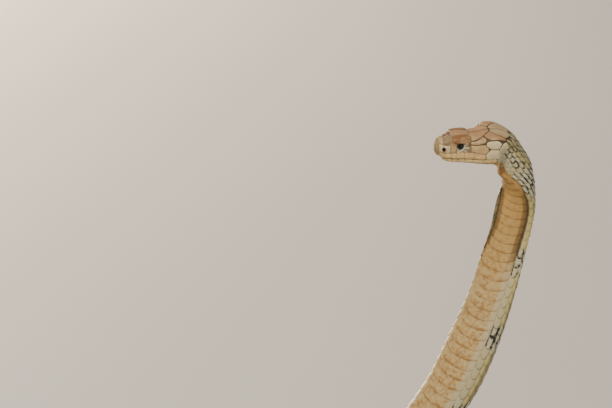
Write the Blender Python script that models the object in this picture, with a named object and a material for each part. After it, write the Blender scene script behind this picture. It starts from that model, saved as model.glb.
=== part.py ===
"""A king cobra at life size, reared and still, in metres with +Z up and its belly on z = 0."""

import math

import bmesh
import bpy
import numpy as np
from mathutils import Vector

MM = 0.001

# Driving dimensions
BODY_LENGTH = 3.50            # tip of the snout to tip of the tail
HEAD_END = 0.0868             # seam behind the head, along the body
BODY_END = 2.80               # vent, where the tail starts
FLOOR_PRESS = 0.0016          # how far the soft belly flattens against the floor
SEAM = 0.0003                 # gap between two neighbouring lengths
WELD = 0.000002               # points nearer than this are one
SCUTE_PITCH = 0.0130          # from one belly scute to the next
SCUTE_RISE = 0.0011           # how proud a belly scute's hind edge stands
SCUTE_REACH = 50.0            # half of a belly scute's arc, in degrees
SHIELD_RISE = 0.0008          # how proud a head shield stands
BROW_RISE = 0.0016            # the shield above the eye stands prouder
ROOT_DEPTH = 0.0022           # how deep a plate's root is sunk
EYE_RADIUS = 0.0047
EYE_PLACE = (0.0300, 0.0136, 0.0052)      # back from the snout, out from the middle, up
MOUTH_DROP = 0.0113           # mouth line below the middle of the snout
JAW_START = 0.0065
JAW_END = 0.0775
HEAD_SIDES = 24               # facets round the head and jaw
SIDES = 20                    # facets round the neck and forebody
FLOOR_SIDES = 18              # facets round the lengths that lie on the floor
NECK_STEP = 0.009             # from one section to the next where the neck bends
STEP, FLOOR_STEP = 0.022, 0.026
CLEAR = 0.0004                # a plate stops this short of its length's end face

# The head points this way, and the body's middle line follows these corners
SNOUT = Vector((0.1530, -0.0139, 0.7645))
HEAD_AXIS = Vector((0.985, 0.174, 0.0)).normalized()
REARED_ROUTE = [              # down the neck and the raised forebody to its foot
    (0.2410, 0.001, 0.7586), (0.2514, 0.000, 0.7468), (0.2586, -0.001, 0.7335),
    (0.2606, -0.003, 0.7160), (0.2584, -0.006, 0.6953), (0.2524, -0.010, 0.6729),
    (0.2477, -0.014, 0.6505), (0.2416, -0.018, 0.6281), (0.2350, -0.023, 0.6034),
    (0.2256, -0.029, 0.5685), (0.2125, -0.034, 0.5316), (0.2018, -0.038, 0.5052),
    (0.1840, -0.043, 0.4629), (0.1640, -0.046, 0.4278), (0.1325, -0.050, 0.3800),
    (0.1020, -0.052, 0.3250), (0.0830, -0.049, 0.2650), (0.0740, -0.040, 0.2050),
    (0.0730, -0.022, 0.1480), (0.0780, 0.008, 0.0960), (0.0870, 0.052, 0.0520),
    (0.1000, 0.102, 0.0240), (0.1160, 0.155, 0.0080), (0.1350, 0.210, 0.0000),
    (0.1400, 0.272, 0.0000), (0.1120, 0.335, 0.0000),
]
COIL_MIDDLE = (0.015, 0.072)
COIL_RADIUS = 0.335
COIL_WAVE = 0.018             # the coil isn't a true circle
COIL_FROM, COIL_TO, COIL_STEP = 84.0, 382.0, 18.6
TAIL_ROUTE = [(0.328, 0.290, 0.0), (0.352, 0.385, 0.0), (0.425, 0.455, 0.0), (0.530, 0.468, 0.0),
              (0.630, 0.425, 0.0), (0.700, 0.350, 0.0)]
ORIGIN_SHIFT = Vector((-0.1587, -0.0829, 0.0))

# Which way the belly faces: at the head down, up the forebody forward, on the floor down
BELLY_FACES = [
    (0.000, (0.0, 0.0, -1.0)), (0.088, (0.0, 0.0, -1.0)), (0.100, (-0.05, -0.05, -1.0)),
    (0.115, (-0.45, -0.12, -0.88)), (0.130, (-0.80, -0.36, -0.50)), (0.145, (-0.78, -0.62, -0.12)),
    (0.160, (-0.58, -0.82, 0.0)), (0.178, (-0.33, -0.94, 0.0)), (0.198, (-0.20, -0.98, 0.0)),
    (0.240, (-0.30, -0.95, 0.0)),
    (0.300, (-0.48, -0.87, 0.0)), (0.450, (-0.66, -0.75, 0.0)), (0.630, (-0.55, -0.83, 0.0)),
    (0.750, (-0.38, -0.88, -0.25)), (0.850, (-0.20, -0.62, -0.75)), (0.950, (0.0, 0.0, -1.0)),
    (3.600, (0.0, 0.0, -1.0)),
]

# Sections in mm: place, half width, crown, chin or belly, squareness above and below, hood curl
STATIONS = np.array([
    (0.0, 3.2, 5.0, 4.6, 2.3, 2.3, 0.0),
    (1.2, 6.6, 8.8, 8.1, 2.4, 2.4, 0.0),
    (3.5, 9.0, 10.0, 9.8, 2.6, 2.6, 0.0),
    (7.0, 11.0, 10.9, 11.4, 2.8, 2.7, 0.0),
    (9.5, 12.0, 11.4, 15.2, 2.9, 2.6, 0.0),
    (13.0, 13.1, 12.6, 18.0, 3.0, 2.6, 0.0),
    (19.0, 15.2, 15.7, 19.8, 3.3, 2.7, 0.0),
    (24.0, 16.2, 16.5, 20.4, 3.4, 2.8, 0.0),
    (30.0, 17.0, 16.6, 21.0, 3.4, 2.8, 0.0),
    (40.0, 19.2, 15.8, 22.0, 3.0, 2.8, 0.0),
    (50.0, 22.4, 15.6, 22.8, 2.6, 2.8, 0.0),
    (55.0, 24.3, 16.0, 23.1, 2.7, 2.8, -0.8),
    (60.0, 27.0, 17.2, 23.4, 3.2, 2.8, -3.0),
    (66.0, 28.7, 18.0, 23.6, 3.5, 2.8, -4.2),
    (73.0, 28.9, 18.0, 23.6, 3.4, 2.7, -4.0),
    (80.0, 27.2, 17.4, 22.6, 2.9, 2.5, -2.4),
    (86.0, 25.0, 16.4, 20.4, 2.5, 2.3, -0.8),
    (96.0, 23.4, 14.0, 18.8, 2.2, 2.1, 0.4),
    (107.0, 23.6, 13.0, 25.5, 2.1, 2.0, 1.0),
    (120.0, 24.2, 14.0, 27.5, 2.0, 1.9, 2.0),
    (138.0, 25.4, 12.2, 20.5, 2.0, 1.9, 4.0),
    (161.0, 25.4, 11.3, 12.8, 2.0, 1.8, 6.0),
    (185.0, 24.7, 11.4, 9.8, 2.0, 1.8, 6.6),
    (207.0, 24.5, 12.0, 9.4, 2.0, 1.8, 6.0),
    (231.0, 25.6, 12.9, 10.2, 2.0, 1.9, 5.0),
    (257.0, 26.9, 14.1, 11.4, 2.0, 2.0, 3.8),
    (294.0, 28.4, 16.0, 13.2, 2.0, 2.1, 2.4),
    (334.0, 30.8, 18.0, 15.0, 2.0, 2.2, 1.4),
    (362.0, 32.2, 19.4, 16.4, 2.0, 2.3, 0.8),
    (395.0, 32.8, 20.6, 17.2, 2.0, 2.4, 0.3),
    (430.0, 31.8, 21.2, 17.8, 2.0, 2.4, 0.0),
    (470.0, 31.5, 21.8, 18.4, 2.0, 2.4, 0.0),
    (570.0, 32.2, 24.4, 20.0, 2.0, 2.4, 0.0),
    (750.0, 33.0, 26.5, 21.2, 2.0, 2.5, 0.0),
    (950.0, 33.2, 27.0, 21.8, 2.0, 2.7, 0.0),
    (1500.0, 33.8, 27.5, 22.2, 2.0, 2.8, 0.0),
    (2200.0, 32.0, 26.0, 21.0, 2.0, 2.8, 0.0),
    (2520.0, 28.2, 23.0, 18.6, 2.0, 2.7, 0.0),
    (2790.0, 21.0, 17.4, 14.4, 2.0, 2.6, 0.0),
    (2830.0, 18.6, 15.6, 12.8, 2.0, 2.5, 0.0),
    (3000.0, 14.2, 12.0, 9.8, 2.0, 2.4, 0.0),
    (3200.0, 9.3, 8.0, 6.6, 2.0, 2.3, 0.0),
    (3400.0, 4.6, 4.1, 3.6, 2.0, 2.2, 0.0),
    (3500.0, 1.6, 1.6, 2.0, 2.0, 2.0, 0.0),
])

# Lengths of the body, from the head to the tip of the tail, with the place where each ends
LENGTHS = [
    ("neck", 0.1908), ("hood", 0.3338), ("forebody_upper", 0.5288), ("forebody_lower", 0.6978),
    ("forebody_foot", 0.8278), ("forebody_heel", 0.9968), ("midbody_1", 1.25), ("midbody_2", 1.50),
    ("midbody_3", 1.75), ("midbody_4", 2.00), ("hindbody_1", 2.25), ("hindbody_2", 2.52),
    ("hindbody_3", BODY_END),
    ("tail_base", 3.00), ("tail_middle", 3.24), ("tail_tip", BODY_LENGTH),
]
LAST_RAISED = "forebody_heel"

COLOURS = {                   # base colour, roughness
    "scales": ((0.47, 0.40, 0.20), 0.45),
    "belly": ((0.62, 0.50, 0.28), 0.38),
    "head": ((0.56, 0.43, 0.27), 0.42),
    "jaw": ((0.72, 0.64, 0.42), 0.42),
    "eye": ((0.02, 0.02, 0.015), 0.08),
}


def clear_scene():
    for item in list(bpy.data.objects):
        bpy.data.objects.remove(item, do_unlink=True)


def slopes(x, y):
    """Slopes of a smooth curve through the rows of y that never overshoots them."""
    step = np.diff(x)[:, None]
    rise = np.diff(y, axis=0) / step
    inner = np.where(rise[:-1] * rise[1:] > 0,
                     2 * rise[:-1] * rise[1:] / (rise[:-1] + rise[1:] + 1e-30), 0.0)
    return np.vstack([rise[:1], inner, rise[-1:]])


def smooth_rows(x, y, slope, at):
    """The rows of y at one place, on the cubic pieces between the keys."""
    i = int(np.clip(np.searchsorted(x, at) - 1, 0, len(x) - 2))
    width = x[i + 1] - x[i]
    t = float(np.clip((at - x[i]) / width, 0.0, 1.0))
    start = (1 + 2 * t) * (1 - t) ** 2 * y[i] + t * (1 - t) ** 2 * width * slope[i]
    end = t * t * (3 - 2 * t) * y[i + 1] + t * t * (t - 1) * width * slope[i + 1]
    return start + end


def b_spline(corners, steps=20):
    """Points on a cubic B-spline that starts and ends at the first and last corner."""
    corners = np.array(corners, float)
    first = 2 * corners[0] - corners[1]
    last = 2 * corners[-1] - corners[-2]
    p = np.vstack([first, corners, last])
    points = []
    for i in range(len(p) - 3):
        for t in np.arange(steps) / steps:
            weights = ((1 - t) ** 3, 3 * t ** 3 - 6 * t * t + 4,
                       -3 * t ** 3 + 3 * t * t + 3 * t + 1, t ** 3)
            points.append(sum(w * q for w, q in zip(weights, p[i:i + 4])) / 6)
    points.append(corners[-1])
    return np.array(points)


def body_corners():
    """The corners of the body's middle line, from the snout to past the tail."""
    head = [SNOUT + HEAD_AXIS * d for d in (0.0, 0.030, 0.058, 0.0800)]
    corners = [tuple(p) for p in head] + REARED_ROUTE
    for degrees in np.arange(COIL_FROM, COIL_TO, COIL_STEP):
        angle = math.radians(degrees)
        radius = COIL_RADIUS + COIL_WAVE * math.sin(3 * angle + 0.6)
        corners.append((COIL_MIDDLE[0] + radius * math.cos(angle),
                        COIL_MIDDLE[1] + radius * math.sin(angle), 0.0))
    return corners + TAIL_ROUTE


class Body:
    """The animal's middle line, with the way to the tail, to the belly and to its left."""

    def __init__(self):
        self.places = STATIONS[:, 0] * MM
        self.sizes = STATIONS[:, 1:].copy()
        self.size_slopes = slopes(self.places, self.sizes)
        line = b_spline(body_corners()) + np.array(ORIGIN_SHIFT)
        self.s = np.concatenate([[0], np.cumsum(np.linalg.norm(np.diff(line, axis=0), axis=1))])
        resting = np.array([self.section(s)[2] * MM - FLOOR_PRESS for s in self.s])
        ease = 0.004
        over = line[:, 2] - resting
        line[:, 2] = resting + 0.5 * (over + np.sqrt(over ** 2 + ease ** 2))
        lying = self.s > 1.10
        line[lying, 2] = resting[lying]
        self.line = line
        self.along = np.gradient(line, self.s, axis=0)
        keys = np.array([k for k, _ in BELLY_FACES])
        faces = np.array([v for _, v in BELLY_FACES])
        self.faces = np.array([smooth_rows(keys, faces, slopes(keys, faces), s) for s in self.s])

    def section(self, s):
        return smooth_rows(self.places, self.sizes, self.size_slopes, s)

    def frame(self, s):
        """Place, way to the tail, way up (away from the belly) and way left."""
        place = Vector([np.interp(s, self.s, self.line[:, k]) for k in range(3)])
        tail = Vector([np.interp(s, self.s, self.along[:, k]) for k in range(3)]).normalized()
        belly = Vector([np.interp(s, self.s, self.faces[:, k]) for k in range(3)])
        belly = (belly - tail * belly.dot(tail)).normalized()
        return place, tail, -belly, belly.cross(tail)

    def bare_point(self, s, degrees):
        """A point of the skin: 0 degrees on the back, 90 on the left side, 180 on the belly."""
        half, crown, chin, above, below, curl = self.section(s)
        place, _, up, left = self.frame(s)
        sine, cosine = math.sin(math.radians(degrees)), math.cos(math.radians(degrees))
        power = 2 / (above if cosine >= 0 else below)
        across = math.copysign(abs(sine) ** power, sine)
        height = crown if cosine >= 0 else -chin
        lift = height * abs(cosine) ** power - curl * across ** 4
        return place + left * (half * across * MM) + up * (lift * MM)

    def point(self, s, degrees, out=0.0, in_section=False):
        """A point at a height over the skin, and never under the floor."""
        spot = self.bare_point(s, degrees)
        if out:
            before, after = max(s - 0.0008, 0.0), s + 0.0008
            ahead = self.bare_point(after, degrees) - self.bare_point(before, degrees)
            if in_section:
                ahead = self.frame(s)[1]
            round_ = self.bare_point(s, degrees + 2.0) - self.bare_point(s, degrees - 2.0)
            spot = spot + round_.cross(ahead).normalized() * out
        spot.z = max(spot.z, 0.0)
        return spot

    def mouth_angle(self, s, drop=MOUTH_DROP):
        """Where on the section the mouth line runs, in degrees from the crown."""
        _, _, chin, _, below, _ = self.section(s)
        share = min(drop / (chin * MM), 1.0)
        return 180.0 - math.degrees(math.acos(share ** (below / 2)))


def new_object(name, bm, collection, material=None):
    bmesh.ops.recalc_face_normals(bm, faces=bm.faces)
    mesh = bpy.data.meshes.new(name)
    bm.to_mesh(mesh)
    bm.free()
    item = bpy.data.objects.new(name, mesh)
    collection.objects.link(item)
    if material:
        mesh.materials.append(material)
    return item


def loft(rings):
    """A closed skin over rings of points alike in number, with a flat face at each end."""
    bm = bmesh.new()
    rows = [[bm.verts.new(p) for p in ring] for ring in rings]
    for row, following in zip(rows, rows[1:]):
        for i in range(len(row)):
            j = (i + 1) % len(row)
            bm.faces.new((row[i], row[j], following[j], following[i]))
    bm.faces.new(rows[0])
    bm.faces.new(reversed(rows[-1]))
    return bm


def plate(strips):
    """A closed bent plate over strips of points, each strip a cut across its thickness."""
    bm = bmesh.new()
    rows = [[bm.verts.new(p) for p in strip] for strip in strips]
    count = len(rows[0])
    for row, following in zip(rows, rows[1:]):
        for i in range(count):
            j = (i + 1) % count
            bm.faces.new((row[i], row[j], following[j], following[i]))
    bm.faces.new(rows[0])
    bm.faces.new(reversed(rows[-1]))
    return bm


def belly_scute(body, front, hind):
    """One wide belly scute, thin in front under the last one and proud at its hind edge."""
    strips = []
    for degrees in np.linspace(180 - SCUTE_REACH, 180 + SCUTE_REACH, 7):
        edge = abs(degrees - 180) / SCUTE_REACH
        rise = SCUTE_RISE * (1 - 0.5 * edge ** 4)
        cut = ((front, 0.0002), (hind, rise), (hind, -ROOT_DEPTH), (front, -ROOT_DEPTH))
        strips.append([body.point(s, degrees, out, in_section=True) for s, out in cut])
    return plate(strips)


def shield(body, outline, rise=SHIELD_RISE):
    """One head shield: its corners are (mm back from the snout, degrees from the crown)."""
    corners = []
    for (s, a), (t, b) in zip(outline, outline[1:] + outline[:1]):
        corners.append((s, a))
        if math.hypot(t - s, (b - a) * 0.35) > 7.0:
            corners.append(((s + t) / 2, (a + b) / 2))
    middle = (sum(c[0] for c in corners) / len(corners), sum(c[1] for c in corners) / len(corners))
    bm = bmesh.new()
    rings = []
    for share, out in ((0.96, -ROOT_DEPTH), (0.96, 0.45 * rise), (0.80, rise)):
        ring = [bm.verts.new(body.point((middle[0] + (s - middle[0]) * share) * MM,
                                        middle[1] + (a - middle[1]) * share, out))
                for s, a in corners]
        rings.append(ring)
    root = bm.verts.new(body.point(middle[0] * MM, middle[1], -ROOT_DEPTH))
    top = bm.verts.new(body.point(middle[0] * MM, middle[1], rise * 1.05))
    for i in range(len(corners)):
        j = (i + 1) % len(corners)
        bm.faces.new((root, rings[0][j], rings[0][i]))
        bm.faces.new((rings[0][i], rings[0][j], rings[1][j], rings[1][i]))
        bm.faces.new((rings[1][i], rings[1][j], rings[2][j], rings[2][i]))
        bm.faces.new((rings[2][i], rings[2][j], top))
    return bm


def crown_shields():
    """The large plates on top of the head, left ones and the one in the middle."""
    frontal = [(21.0, -22), (21.0, 22), (30.0, 25), (38.0, 13), (41.0, 0), (38.0, -13), (30.0, -25)]
    sides = {
        "internasal": [(4.2, 4), (4.4, 40), (9.0, 58), (12.2, 50), (12.4, 4)],
        "prefrontal": [(13.4, 4), (13.4, 50), (16.5, 62), (19.6, 56), (20.4, 28), (20.2, 4)],
        "parietal": [(42.2, 3), (40.0, 17), (40.2, 32), (44.5, 48), (53.0, 56), (62.0, 47),
                     (66.0, 26), (64.0, 3)],
        "occipital": [(65.6, 3), (67.6, 26), (65.8, 43), (74.0, 47), (82.0, 34), (83.4, 3)],
    }
    brow = [(20.4, 32), (19.2, 54), (23.5, 66), (33.0, 68), (40.0, 64), (42.6, 50), (38.6, 33),
            (30.0, 32)]
    return frontal, sides, brow


def cheek_shields(body):
    """The plates on the side of the head above the mouth line, for the left side."""
    plates = {
        "front_nasal": [(4.6, 62), (4.6, 92), (9.4, 97), (9.8, 60)],
        "hind_nasal": [(13.8, 62), (13.8, 97), (17.6, 94), (17.8, 66)],
        "front_ocular": [(18.8, 64), (18.8, 92), (23.8, 94), (23.6, 78), (22.2, 70)],
        "hind_ocular_1": [(37.0, 78), (41.6, 74), (42.0, 84), (37.0, 86)],
        "hind_ocular_2": [(36.8, 88), (42.0, 86), (42.0, 96), (36.0, 96)],
        "temporal_1": [(43.6, 54), (43.6, 76), (56.0, 80), (60.0, 68), (54.0, 60)],
        "temporal_2": [(43.8, 79), (43.8, 96), (55.0, 99), (58.6, 84), (55.6, 82)],
        "temporal_3": [(57.6, 81), (61.6, 69), (66.0, 58), (74.0, 64), (77.0, 76), (69.0, 84)],
        "temporal_4": [(60.2, 85), (57.0, 100), (65.0, 106), (76.0, 102), (80.0, 86), (69.0, 87)],
        "nape_scale": [(68.0, 54), (75.0, 50), (84.0, 56), (81.0, 70), (76.0, 64)],
    }
    lips = [4.6, 12.4, 19.4, 26.4, 34.6, 45.0, 57.0, 75.0]
    tops = [96, 100, 98, 106, 104, 99, 102, 108]
    for i in range(len(lips) - 1):
        front, hind = lips[i] + 0.35, lips[i + 1] - 0.35
        low_front = body.mouth_angle(front * MM) - 1.5
        low_hind = body.mouth_angle(hind * MM) - 1.5
        plates[f"upper_lip_{i + 1}"] = [(front, tops[i]), (front, low_front), (hind, low_hind),
                                        (hind, tops[i + 1])]
    return plates


def jaw_shields(body):
    """The lip and chin plates of the lower jaw, for the left side."""
    plates = {
        "chin_1": [(13.5, 176), (13.5, 158), (28.0, 156), (29.5, 176)],
        "chin_2": [(30.8, 176), (29.5, 156), (42.0, 160), (45.0, 176)],
    }
    lips = [9.6, 15.5, 22.0, 29.5, 38.0, 47.5, 58.0, 72.0]
    for i in range(len(lips) - 1):
        front, hind = lips[i] + 0.35, lips[i + 1] - 0.35
        high_front = body.mouth_angle(front * MM) + 2.0
        high_hind = body.mouth_angle(hind * MM) + 2.0
        plates[f"lower_lip_{i + 1}"] = [(front, high_front), (front, high_front + 20),
                                        (hind, high_hind + 20), (hind, high_hind)]
    return plates


def mirrored(outline):
    return [(s, -a) for s, a in reversed(outline)]


def closed(mesh):
    bm = bmesh.new()
    bm.from_mesh(mesh)
    whole = len(bm.faces) > 0 and all(edge.is_manifold for edge in bm.edges)
    bm.free()
    return whole


def join(item, pieces, operation="UNION"):
    """One Boolean on a collection of closed pieces, applied, with the pieces then removed."""
    group = bpy.data.collections.new("pieces_of_" + item.name)
    bpy.context.scene.collection.children.link(group)
    for bm in pieces:
        piece = new_object("piece", bm, group)
        piece.hide_render = True
        piece.display_type = "WIRE"
    cut = item.modifiers.new("joined", "BOOLEAN")
    cut.operation = operation
    cut.operand_type = "COLLECTION"
    cut.collection = group
    for solver in ("EXACT", "MANIFOLD"):
        cut.solver = solver
        bpy.context.view_layer.update()
        seen = item.evaluated_get(bpy.context.evaluated_depsgraph_get())
        mesh = bpy.data.meshes.new_from_object(seen)
        tidy_mesh(mesh)
        if closed(mesh):
            break
    item.modifiers.remove(cut)
    if not mesh.materials:
        for material in item.data.materials:
            mesh.materials.append(material)
    item.data = mesh
    for piece in list(group.objects):
        bpy.data.objects.remove(piece, do_unlink=True)
    bpy.data.collections.remove(group)


def tidy_mesh(mesh):
    """Triangles only, near-equal points welded, and only the largest closed surface kept."""
    bm = bmesh.new()
    bm.from_mesh(mesh)
    bmesh.ops.remove_doubles(bm, verts=bm.verts, dist=WELD)
    bmesh.ops.dissolve_degenerate(bm, edges=bm.edges, dist=WELD)
    bmesh.ops.triangulate(bm, faces=bm.faces)
    waiting = set(bm.verts)
    groups = []
    while waiting:
        front = [waiting.pop()]
        group = set(front)
        while front:
            vert = front.pop()
            for edge in vert.link_edges:
                other = edge.other_vert(vert)
                if other in waiting:
                    waiting.remove(other)
                    group.add(other)
                    front.append(other)
        groups.append(group)
    groups.sort(key=len)
    extra = [v for group in groups[:-1] for v in group]
    bmesh.ops.delete(bm, geom=extra, context="VERTS")
    bm.to_mesh(mesh)
    bm.free()


def ball(centre, radius, segments=14, rings=8, squash=(1.0, 1.0, 1.0)):
    bm = bmesh.new()
    bmesh.ops.create_uvsphere(bm, u_segments=segments, v_segments=rings, radius=radius)
    for vert in bm.verts:
        vert.co = Vector(centre) + Vector([vert.co[k] * squash[k] for k in range(3)])
    return bm


def section_ring(body, s, sides):
    return [body.point(s, 360.0 * i / sides) for i in range(sides)]


def whole_head(body):
    places = [0.0, 0.5, 1.2, 2.2, 3.5, 5.2, 7.0, 9.0, 11.0, 13.5, 16.5, 20.0, 24.0, 28.0, 32.0, 36.0,
              40.0, 45.0, 50.0, 55.0, 60.0, 65.0, 70.0, 75.0, 80.0]
    rings = [section_ring(body, s * MM, HEAD_SIDES) for s in places]
    rings.append(section_ring(body, HEAD_END - SEAM / 2, HEAD_SIDES))
    return loft(rings)


def jaw_block(body, gap):
    """The space of the lower jaw, as seen from the side, with its top on the mouth line."""
    origin, tail, up, left = body.frame(0.0)
    top = MOUTH_DROP - gap / 2
    outline = [(JAW_START - 0.002, top), (0.020, top), (0.034, top + 0.0006), (0.052, top + 0.0003),
               (0.068, top - 0.0004), (JAW_END - 0.004 + gap / 2, top - 0.0016),
               (JAW_END + gap / 2, top - 0.0010), (JAW_END + gap / 2, top + 0.006),
               (0.070 + gap / 2, 0.032), (JAW_START - 0.002, 0.032)]
    wide = 0.05
    rings = []
    for side in (-wide, wide):
        rings.append([origin + tail * s - up * drop + left * side for s, drop in outline])
    return loft(rings)


def head_spot(body, place, side):
    origin, tail, up, left = body.frame(0.0)
    back, out, rise = place
    return origin + tail * back + left * (out * side) + up * rise


def make_head(body, parts, material):
    item = new_object("head", whole_head(body), parts, material)
    frontal, tops, brow = crown_shields()
    pieces = [shield(body, frontal)]
    for outline in list(tops.values()) + list(cheek_shields(body).values()):
        pieces += [shield(body, outline), shield(body, mirrored(outline))]
    pieces += [shield(body, brow, BROW_RISE), shield(body, mirrored(brow), BROW_RISE)]
    pieces.append(rostral_plate(body))
    join(item, pieces)
    holes = [jaw_block(body, SEAM)]
    for side in (1, -1):
        holes.append(ball(head_spot(body, EYE_PLACE, side), EYE_RADIUS + SEAM))
        nostril = head_spot(body, (0.0118, 0.0128, -0.0006), side)
        holes.append(ball(nostril, 0.0021, 10, 8, (0.85, 0.9, 1.15)))
    join(item, holes, "DIFFERENCE")
    return item


def rostral_plate(body):
    """The shield on the tip of the snout, a rounded plate across its front."""
    origin, tail, up, left = body.frame(0.0)
    outline = [(-0.0046, 0.0052), (-0.0060, 0.0000), (-0.0052, -0.0062), (0.0052, -0.0062),
               (0.0060, 0.0000), (0.0046, 0.0052), (0.0, 0.0070)]
    rings = []
    for place, share in ((0.0040, 1.0), (0.0004, 1.0), (-0.0009, 0.62)):
        rings.append([origin + tail * place + left * (x * share) + up * (z * share) for x, z in outline])
    return loft(rings)


def make_lower_jaw(body, parts, material):
    item = new_object("lower_jaw", whole_head(body), parts, material)
    pieces = []
    for outline in jaw_shields(body).values():
        pieces += [shield(body, outline), shield(body, mirrored(outline))]
    join(item, pieces)
    join(item, [jaw_block(body, -SEAM)], "INTERSECT")
    return item


def make_eyes(body, parts, material):
    for name, side in (("eye_left", 1), ("eye_right", -1)):
        new_object(name, ball(head_spot(body, EYE_PLACE, side), EYE_RADIUS), parts, material)


def make_length(body, name, start, end, parts, material):
    """One length of the body, with its belly scutes where it is raised off the floor."""
    raised = end <= dict(LENGTHS)[LAST_RAISED]
    sides = SIDES if raised else FLOOR_SIDES
    step = NECK_STEP if name == "neck" else STEP if raised else FLOOR_STEP
    first, last = start + SEAM / 2, end - SEAM / 2
    if name == "tail_tip":
        last = end
    count = max(2, round((last - first) / step))
    rings = [section_ring(body, s, sides) for s in np.linspace(first, last, count + 1)]
    item = new_object(name, loft(rings), parts, material)
    if raised:
        add_scutes(body, item, start, end)
    item.data.shade_smooth()
    item.data.set_sharp_from_angle(angle=math.radians(32))
    return item


def add_scutes(body, item, start, end):
    pieces = []
    count = round((end - start) / SCUTE_PITCH)
    for i in range(count):
        front = start + i * SCUTE_PITCH
        hind = min(front + SCUTE_PITCH, end - SEAM / 2 - CLEAR)
        if body.bare_point(hind, 180).z > 0.004:
            under = 0.0015 if i else -SEAM / 2 - CLEAR
            pieces.append(belly_scute(body, front - under, hind))
    join(item, pieces)


def make_materials():
    made = {}
    for name, (colour, roughness) in COLOURS.items():
        material = bpy.data.materials.new(name)
        material.use_nodes = True
        shader = material.node_tree.nodes["Principled BSDF"]
        shader.inputs["Base Color"].default_value = (*colour, 1.0)
        shader.inputs["Roughness"].default_value = roughness
        shader.inputs["Metallic"].default_value = 0.0
        made[name] = material
    return made


def main():
    clear_scene()
    parts = bpy.data.collections.new("king_cobra")
    bpy.context.scene.collection.children.link(parts)
    materials = make_materials()
    body = Body()
    make_head(body, parts, materials["head"])
    make_lower_jaw(body, parts, materials["jaw"])
    make_eyes(body, parts, materials["eye"])
    start = HEAD_END
    for name, end in LENGTHS:
        make_length(body, name, start, end, parts, materials["scales"])
        start = end


main()
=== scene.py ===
"""A king cobra at life size, reared off a loose coil on a pale floor, as a museum shows it."""

import math

import bmesh
import bpy
import numpy as np
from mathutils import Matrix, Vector


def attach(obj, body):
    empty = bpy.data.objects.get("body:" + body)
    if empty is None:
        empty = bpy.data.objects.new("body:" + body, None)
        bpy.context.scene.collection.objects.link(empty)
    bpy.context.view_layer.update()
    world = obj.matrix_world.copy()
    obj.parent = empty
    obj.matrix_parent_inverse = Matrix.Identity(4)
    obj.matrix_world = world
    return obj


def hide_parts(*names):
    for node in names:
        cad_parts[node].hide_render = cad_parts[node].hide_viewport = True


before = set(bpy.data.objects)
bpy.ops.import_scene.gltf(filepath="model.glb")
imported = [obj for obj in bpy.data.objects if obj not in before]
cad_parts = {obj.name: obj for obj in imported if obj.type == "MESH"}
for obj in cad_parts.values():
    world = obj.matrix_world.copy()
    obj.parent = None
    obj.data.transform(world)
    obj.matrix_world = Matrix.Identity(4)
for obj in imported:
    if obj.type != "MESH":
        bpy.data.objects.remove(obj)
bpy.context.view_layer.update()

# Camera. A long lens about six metres off looks down on the head from the snake's left and
# takes in only the raised neck, as the photograph does.
SHIFT = np.array((-0.1587, -0.0829, 0))     # brings the middle of the animal over the origin
LOOK_DOWN = math.radians(27)
AWAY, AIM_HEIGHT, SEES_TO = 6.05, 0.68, 60
SENSOR = 36                                 # mm
FOCAL_PIXELS, PICTURE_PIXELS = 5000, 612


def put(name, data):
    """An object in the scene that holds this data."""
    item = bpy.data.objects.new(name, data)
    bpy.context.scene.collection.objects.link(item)
    return item


lens = bpy.data.cameras.new("camera")
camera = put("camera", lens)
camera.location = (SHIFT[0], SHIFT[1] - AWAY * math.cos(LOOK_DOWN),
                   AIM_HEIGHT + AWAY * math.sin(LOOK_DOWN))
camera.rotation_euler = (math.radians(90) - LOOK_DOWN, 0, 0)
lens.sensor_width = SENSOR
lens.lens = SENSOR * FOCAL_PIXELS / PICTURE_PIXELS
lens.clip_end = SEES_TO
bpy.context.scene.camera = camera


# Form of the animal. Backbone and muscle give one long round body: a middle line from the snout
# to the tip of the tail, and a section at each place along it, narrow and curled at the neck and
# flattened a little where it lies on the floor.
MM = 0.001
FLOOR_PRESS = 0.0016                # how far the animal's weight flattens it on the floor
TOUCH_DOWN, LIES_FROM = 0.004, 1.10
HEAD_CORNERS = (0, 0.03, 0.058, 0.08)
SNOUT = np.array((0.1530, -0.0139, 0.7645))
HEAD_AXIS = np.array((0.985, 0.174, 0))
HEAD_AXIS = HEAD_AXIS / np.linalg.norm(HEAD_AXIS)
REARED_ROUTE = [
    (0.241, 0.001, 0.7586), (0.2514, 0, 0.7468), (0.2586, -0.001, 0.7335),
    (0.2606, -0.003, 0.716), (0.2584, -0.006, 0.6953), (0.2524, -0.01, 0.6729),
    (0.2477, -0.014, 0.6505), (0.2416, -0.018, 0.6281), (0.235, -0.023, 0.6034),
    (0.2256, -0.029, 0.5685), (0.2125, -0.034, 0.5316), (0.2018, -0.038, 0.5052),
    (0.184, -0.043, 0.4629), (0.164, -0.046, 0.4278), (0.1325, -0.05, 0.38),
    (0.102, -0.052, 0.325), (0.083, -0.049, 0.265), (0.074, -0.04, 0.205),
    (0.073, -0.022, 0.148), (0.078, 0.008, 0.096), (0.087, 0.052, 0.052),
    (0.1, 0.102, 0.024), (0.116, 0.155, 0.008), (0.135, 0.21, 0),
    (0.14, 0.272, 0), (0.112, 0.335, 0),
]
COIL_MIDDLE = (0.015, 0.072)
COIL_RADIUS, COIL_WAVE, COIL_LOBES, COIL_PHASE = 0.335, 0.018, 3, 0.6
COIL_FROM, COIL_TO, COIL_STEP = 84, 382, 18.6
TAIL_ROUTE = [(0.328, 0.29, 0), (0.352, 0.385, 0), (0.425, 0.455, 0), (0.53, 0.468, 0),
              (0.63, 0.425, 0), (0.7, 0.35, 0)]
BODY_LENGTH = 3.5
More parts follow.
